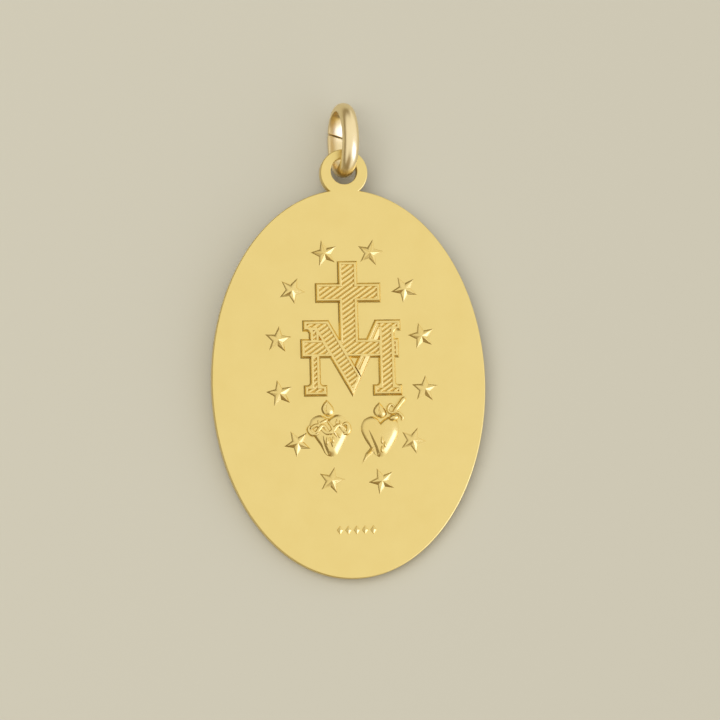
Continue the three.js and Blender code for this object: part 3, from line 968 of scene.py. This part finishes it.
def camera(place_on_medal):
    level_towards = Vector((sin(CAMERA_TURN), -cos(CAMERA_TURN), 0))
    towards = level_towards * sin(CAMERA_TILT) + Vector((0, 0, cos(CAMERA_TILT)))
    level_up = (Vector((0, 1, 0)) - towards.y * towards).normalized()
    level_right = level_up.cross(towards)
    right = level_right * cos(CAMERA_ROLL) - level_up * sin(CAMERA_ROLL)
    up = level_up * cos(CAMERA_ROLL) + level_right * sin(CAMERA_ROLL)
    centre = place_on_medal @ Vector((0, 0, FIELD))
    half = FRAME_PIXELS / 2
    aside = (OVAL_CENTRE_PIXEL[0] - half) / PIXELS_PER_MM * MM
    below = (OVAL_CENTRE_PIXEL[1] - half) / PIXELS_PER_MM * MM
    eye = centre + CAMERA_DISTANCE * MM * towards - aside * right + below * up
    data = bpy.data.cameras.new("camera")
    data.sensor_width = SENSOR
    data.lens = SENSOR * CAMERA_DISTANCE * PIXELS_PER_MM / FRAME_PIXELS
    data.clip_start = 0.01
    data.clip_end = 10
    piece = bpy.data.objects.new("camera", data)
    turn = Matrix((right, up, towards)).transposed().to_4x4()
    piece.matrix_world = Matrix.Translation(eye) @ turn
    bpy.context.scene.collection.objects.link(piece)
    bpy.context.scene.camera = piece


# Panels of light: direction clockwise from the picture's top, height over the floor in
# degrees, distance and size in metres, glow and tint. The window shows in the metal, and the
# soft box lights the card, so that the shadow beside the plate stays as faint as it should be
WINDOW = {
    "turn": 114,
    "height": 33,
    "distance": 0.7,
    "width": 0.36,
    "length": 0.6,
    "glow": 2.6,
    "tint": "ADBDFF",
}
SOFT_BOX = {
    "turn": 285,
    "height": 68,
    "distance": 0.7,
    "width": 0.6,
    "length": 0.6,
    "glow": 2.85,
    "tint": "FFFFFF",
}

# Soft surround: a bright room, with a dark patch high up towards the foot of the picture, and
# dark walls low down on the left and behind. Turns and heights are in degrees
ROOM_LIGHT = "FCFAF6"
PATCH_LIGHT = "9E8965"
WALL_LIGHT = "867655"
DARK_PATCH = {"turn": 184, "height": 39, "full": 13, "gone": 26}
LOW_WALLS = {"turn": 272, "full": 100, "gone": 115, "full_height": 19, "gone_height": 36}


def direction(turn, height):
    turn = radians(turn)
    height = radians(height)
    return Vector((sin(turn) * cos(height), cos(turn) * cos(height), sin(height)))


def light_panel(name, turn, height, distance, width, length, glow, tint, in_metal):
    """A plain rectangle of light, which either shows in the metal or lights the card."""
    towards = direction(turn, height)
    data = bpy.data.lights.new(name, "AREA")
    data.shape = "RECTANGLE"
    data.size = width
    data.size_y = length
    data.energy = glow * pi * width * length
    data.color = linear(tint)[:3]
    piece = bpy.data.objects.new(name, data)
    turned = towards.to_track_quat("Z", "Y").to_matrix().to_4x4()
    piece.matrix_world = Matrix.Translation(distance * towards) @ turned
    piece.visible_diffuse = not in_metal
    piece.visible_glossy = in_metal
    bpy.context.scene.collection.objects.link(piece)


def facing(tree, place, turn, height, full, gone):
    """0 within one angle of a direction, rising to 1 at a wider angle."""
    dot = add_node(tree, "ShaderNodeVectorMath", links={0: place}, operation="DOT_PRODUCT")
    dot.inputs[1].default_value = direction(turn, height)
    return add_node(
        tree,
        "ShaderNodeMapRange",
        links={"Value": dot.outputs["Value"]},
        values={"From Min": cos(radians(full)), "From Max": cos(radians(gone))},
        interpolation_type="SMOOTHSTEP",
    ).outputs["Result"]


def surround():
    world = bpy.data.worlds.new("surround")
    world.use_nodes = True
    tree = world.node_tree
    background = tree.nodes["Background"]
    place = add_node(tree, "ShaderNodeTexCoord").outputs["Generated"]
    walls = LOW_WALLS
    beside = facing(tree, place, walls["turn"], 0, walls["full"], walls["gone"])
    above = facing(tree, place, 0, 90, 90 - walls["full_height"], 90 - walls["gone_height"])
    clear = add_node(tree, "ShaderNodeMath", links={0: beside, 1: above}, operation="MAXIMUM")
    room = add_node(tree, "ShaderNodeMix", links={"Factor": clear.outputs["Value"]}, data_type="RGBA")
    room.inputs["A"].default_value = linear(WALL_LIGHT)
    room.inputs["B"].default_value = linear(ROOM_LIGHT)
    beyond = facing(tree, place, **DARK_PATCH)
    whole = add_node(tree, "ShaderNodeMix", links={"Factor": beyond}, data_type="RGBA")
    whole.inputs["A"].default_value = linear(PATCH_LIGHT)
    tree.links.new(room.outputs["Result"], whole.inputs["B"])
    tree.links.new(whole.outputs["Result"], background.inputs["Color"])
    bpy.context.scene.world = world
    bpy.context.scene.view_settings.view_transform = "Standard"


FLOOR_HALF_WIDTH = 2


def floor_card():
    bm = bmesh.new()
    bmesh.ops.create_grid(bm, x_segments=1, y_segments=1, size=FLOOR_HALF_WIDTH)
    piece = as_object(bm, "floor")
    piece.data.materials.append(pale_card())


# Field: lapped flat and left satin, so it reads as one even, soft yellow
satin = gilt_brass(
    "satin_gilt_brass", "F0D98E", "EAD182", roughness=0.34, grain=0.25, scratches=0.12
)
# Relief: burnished by the die, so its facets flash from dark to white
polished = gilt_brass(
    "polished_gilt_brass", "F1DA92", "E8CC7C", roughness=0.24, grain=0.12, scratches=0.0
)
# Floors of the sunk panels: a deeper tone, painted shade that stands in for the shade down in the panels
painted_shade_floor = gilt_brass(
    "panel_floor_painted_shade", "E2C471", "D4B058", roughness=0.34, grain=0.25, scratches=0.0
)
# Ring: drawn wire, mopped smooth, so it has long, soft lights; its colour is painted paler than the
# plate's gold, painted light for the brightness its highlights give it
ring_gilt_painted_paler = gilt_brass(
    "mopped_gilt_brass", "F9E7B9", "F0D9A0", roughness=0.3, grain=0.06, scratches=0.0
)

struck_medal = medal(satin, polished, painted_shade_floor)
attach(struck_medal, "root")
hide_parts("medal")

ring_wire = bail_ring(ring_gilt_painted_paler)
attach(ring_wire, "root")
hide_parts("bail_ring")

floor_card()
light_panel("window", **WINDOW, in_metal=True)
light_panel("soft_box", **SOFT_BOX, in_metal=False)
surround()
camera(lay_on_slope())
